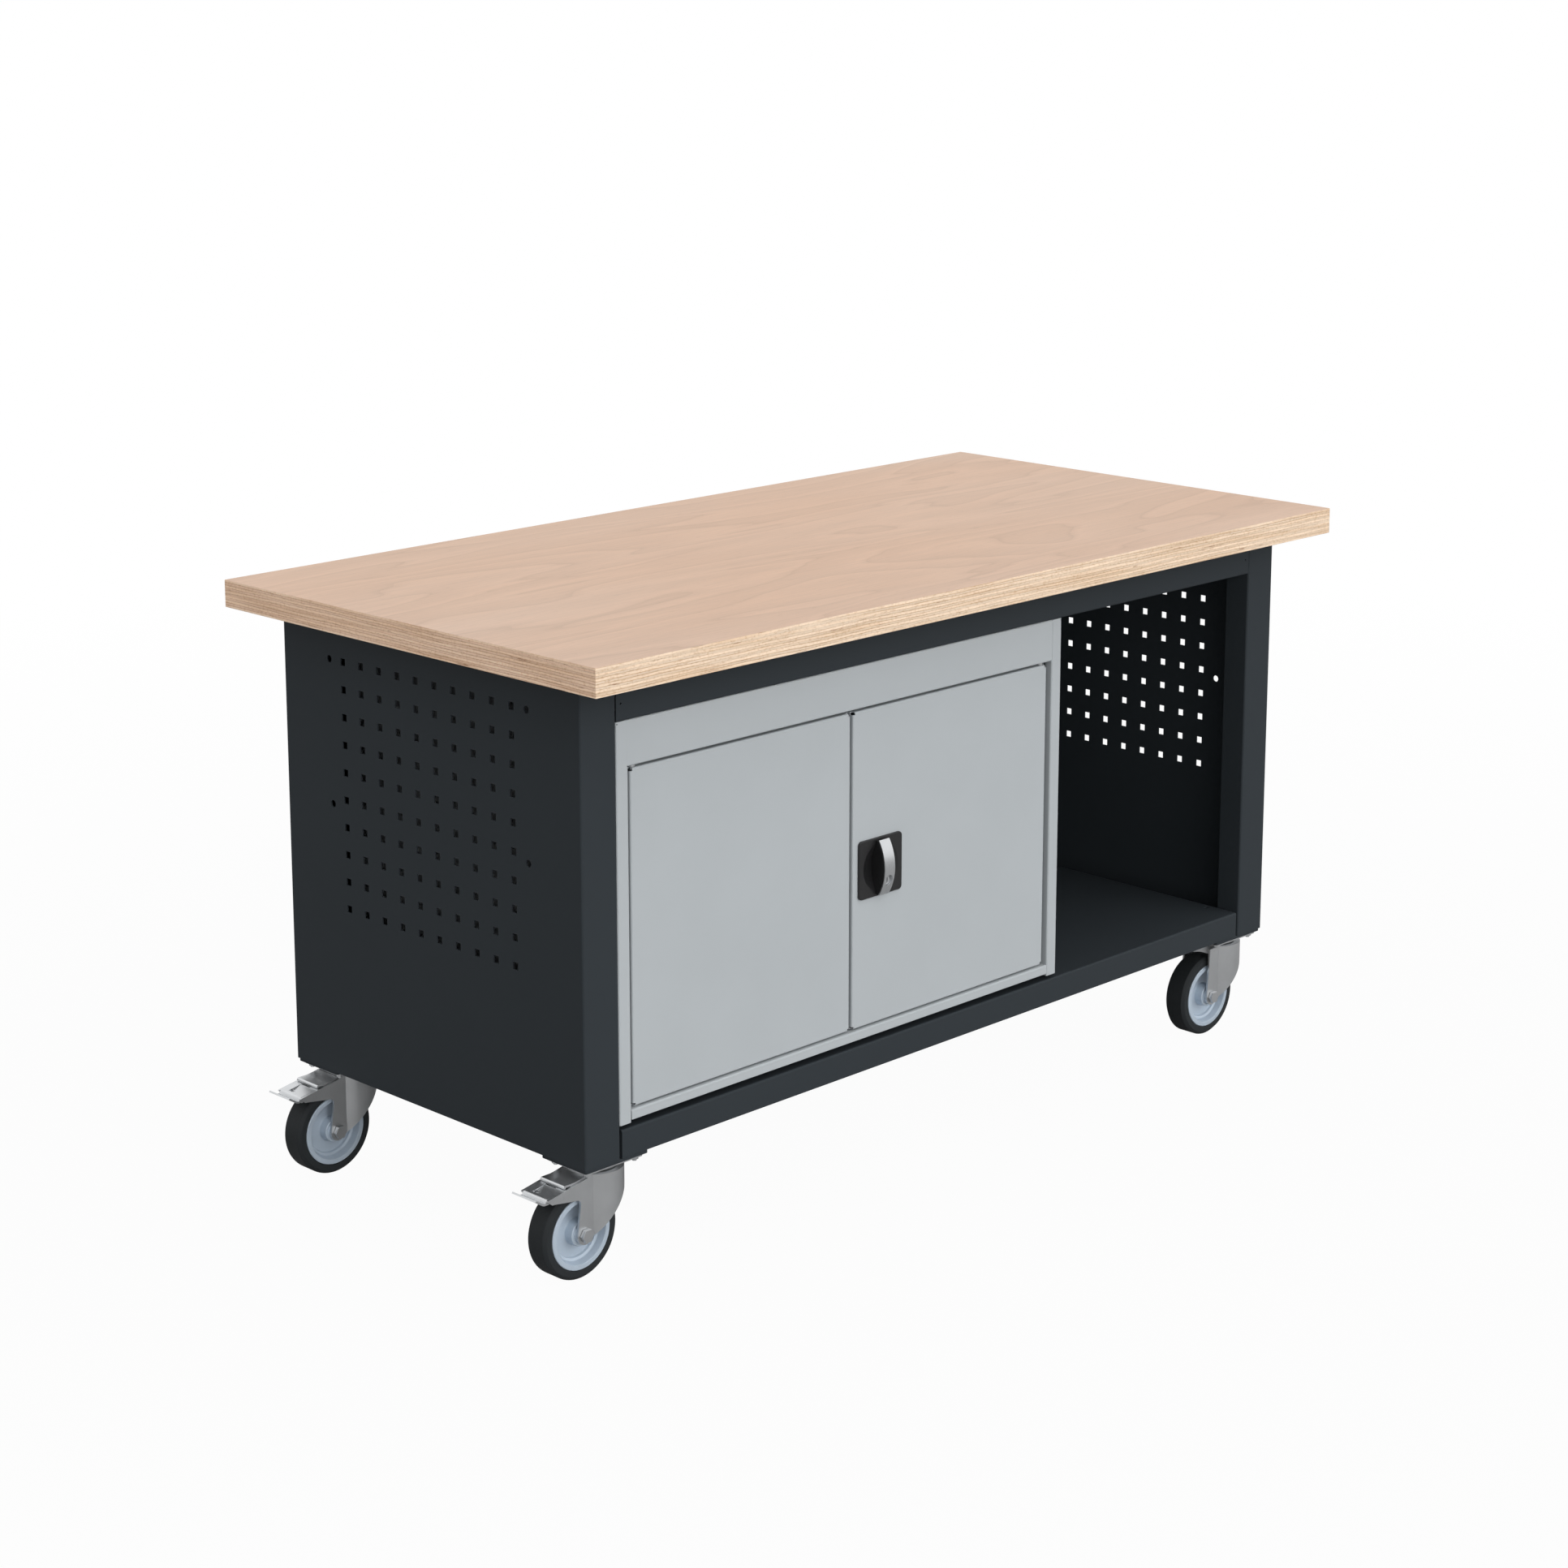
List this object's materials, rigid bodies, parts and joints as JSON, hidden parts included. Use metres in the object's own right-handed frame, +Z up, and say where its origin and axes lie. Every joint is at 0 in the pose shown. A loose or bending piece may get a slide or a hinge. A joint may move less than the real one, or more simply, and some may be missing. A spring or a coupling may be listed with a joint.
{
  "type": "workbench with cabinet doors",
  "caption": "Mobile workbench with a plywood top, perforated steel end panels, a lockable double-door cabinet, an open bay and braked swivel casters.",
  "frame": {"origin": "on the floor, at the middle of the whole part's footprint with the brake pedals included", "axes": "+X to the right along the front, +Y from the front to the back, +Z up"},
  "size_m": [1.526, 0.75, 0.83],
  "materials": {
    "beech_ply": "matt oiled beech plywood",
    "anthracite_paint": "fine-textured powder coat",
    "grey_paint": "fine-textured powder coat",
    "steel": "bright turned steel",
    "satin_chrome": "satin",
    "black_plastic": "fine grain",
    "zinc": "blue-white zinc plate",
    "wheel_plastic": "moulded",
    "tyre_rubber": "matt"
  },
  "bodies": {
    "bench": {"worktop": "beech_ply", "left_end_panel": "anthracite_paint", "right_end_panel": "anthracite_paint", "front_top_rail": "anthracite_paint", "rear_top_rail": "anthracite_paint", "bottom_shelf": "anthracite_paint", "rear_panel": "anthracite_paint", "cabinet_left_side": "grey_paint", "cabinet_right_side": "grey_paint", "cabinet_roof": "grey_paint", "cabinet_floor": "grey_paint", "cabinet_back": "grey_paint", "cabinet_shelf": "grey_paint", "left_door_lower_pin": "steel", "left_door_upper_pin": "steel", "right_door_lower_pin": "steel", "right_door_upper_pin": "steel", "front_left_foot_plate": "anthracite_paint", "front_left_caster_plate": "zinc", "rear_left_foot_plate": "anthracite_paint", "rear_left_caster_plate": "zinc", "front_right_foot_plate": "anthracite_paint", "front_right_caster_plate": "zinc", "rear_right_foot_plate": "anthracite_paint", "rear_right_caster_plate": "zinc"},
    "left_door": {"left_door": "grey_paint"},
    "right_door": {"right_door": "grey_paint", "lock_plate": "black_plastic", "lock_case": "zinc", "upper_rod_guide": "black_plastic", "lower_rod_guide": "black_plastic"},
    "handle": {"handle_grip": "black_plastic", "handle_strip": "satin_chrome", "lock_spindle": "steel"},
    "key": {"key_cylinder": "satin_chrome"},
    "upper_rod": {"upper_lock_rod": "zinc"},
    "lower_rod": {"lower_lock_rod": "zinc"},
    "front_left_swivel": {"front_left_fork": "zinc", "front_left_axle_bolt": "zinc", "front_left_pedal_pin": "steel"},
    "front_left_wheel": {"front_left_rim": "wheel_plastic", "front_left_tyre": "tyre_rubber"},
    "front_left_pedal": {"front_left_brake_pedal": "zinc"},
    "rear_left_swivel": {"rear_left_fork": "zinc", "rear_left_axle_bolt": "zinc", "rear_left_pedal_pin": "steel"},
    "rear_left_wheel": {"rear_left_rim": "wheel_plastic", "rear_left_tyre": "tyre_rubber"},
    "rear_left_pedal": {"rear_left_brake_pedal": "zinc"},
    "front_right_swivel": {"front_right_fork": "zinc", "front_right_axle_bolt": "zinc"},
    "front_right_wheel": {"front_right_rim": "wheel_plastic", "front_right_tyre": "tyre_rubber"},
    "rear_right_swivel": {"rear_right_fork": "zinc", "rear_right_axle_bolt": "zinc"},
    "rear_right_wheel": {"rear_right_rim": "wheel_plastic", "rear_right_tyre": "tyre_rubber"}
  },
  "joints": [
    {"name": "left_door_hinge", "type": "hinge", "parent": "bench", "child": "left_door", "pos_m": [-0.6019, -0.288, 0.443], "axis": [0, 0, -1], "range_deg": [0, 110]},
    {"name": "right_door_hinge", "type": "hinge", "parent": "bench", "child": "right_door", "pos_m": [0.1881, -0.288, 0.443], "axis": [0, 0, 1], "range_deg": [0, 110]},
    {"name": "handle_turn", "type": "hinge", "parent": "right_door", "child": "handle", "pos_m": [-0.1519, -0.299, 0.44345], "axis": [0, 1, 0], "range_deg": [0, 90]},
    {"name": "upper_rod_throw", "type": "slide", "parent": "right_door", "child": "upper_rod", "axis": [0, 0, 1], "range_m": [0, 0.0158]},
    {"name": "lower_rod_throw", "type": "slide", "parent": "right_door", "child": "lower_rod", "axis": [0, 0, -1], "range_m": [0, 0.0158]},
    {"name": "key_turn", "type": "hinge", "parent": "handle", "child": "key", "pos_m": [-0.1519, -0.31, 0.42645], "axis": [0, 1, 0], "range_deg": [0, 90]},
    {"name": "front_left_swivel_turn", "type": "hinge", "parent": "bench", "child": "front_left_swivel", "pos_m": [-0.6415, -0.2555, 0.14], "axis": [0, 0, 1], "continuous": true},
    {"name": "front_left_wheel_spin", "type": "hinge", "parent": "front_left_swivel", "child": "front_left_wheel", "pos_m": [-0.6825, -0.2555, 0.0625], "axis": [0, 1, 0], "continuous": true},
    {"name": "front_left_pedal_press", "type": "hinge", "parent": "front_left_swivel", "child": "front_left_pedal", "pos_m": [-0.7215, -0.2555, 0.1235], "axis": [0, -1, 0], "range_deg": [0, 8]},
    {"name": "rear_left_swivel_turn", "type": "hinge", "parent": "bench", "child": "rear_left_swivel", "pos_m": [-0.6415, 0.2555, 0.14], "axis": [0, 0, 1], "continuous": true},
    {"name": "rear_left_wheel_spin", "type": "hinge", "parent": "rear_left_swivel", "child": "rear_left_wheel", "pos_m": [-0.6825, 0.2555, 0.0625], "axis": [0, 1, 0], "continuous": true},
    {"name": "rear_left_pedal_press", "type": "hinge", "parent": "rear_left_swivel", "child": "rear_left_pedal", "pos_m": [-0.7215, 0.2555, 0.1235], "axis": [0, -1, 0], "range_deg": [0, 8]},
    {"name": "front_right_swivel_turn", "type": "hinge", "parent": "bench", "child": "front_right_swivel", "pos_m": [0.6665, -0.2555, 0.14], "axis": [0, 0, 1], "continuous": true},
    {"name": "front_right_wheel_spin", "type": "hinge", "parent": "front_right_swivel", "child": "front_right_wheel", "pos_m": [0.6255, -0.2555, 0.0625], "axis": [0, 1, 0], "continuous": true},
    {"name": "rear_right_swivel_turn", "type": "hinge", "parent": "bench", "child": "rear_right_swivel", "pos_m": [0.6665, 0.2555, 0.14], "axis": [0, 0, 1], "continuous": true},
    {"name": "rear_right_wheel_spin", "type": "hinge", "parent": "rear_right_swivel", "child": "rear_right_wheel", "pos_m": [0.6255, 0.2555, 0.0625], "axis": [0, 1, 0], "continuous": true}
  ],
  "couplings": [
    {"joint": "upper_rod_throw", "follows": "handle_turn", "m_per_rad": 0.01},
    {"joint": "lower_rod_throw", "follows": "handle_turn", "m_per_rad": 0.01}
  ]
}
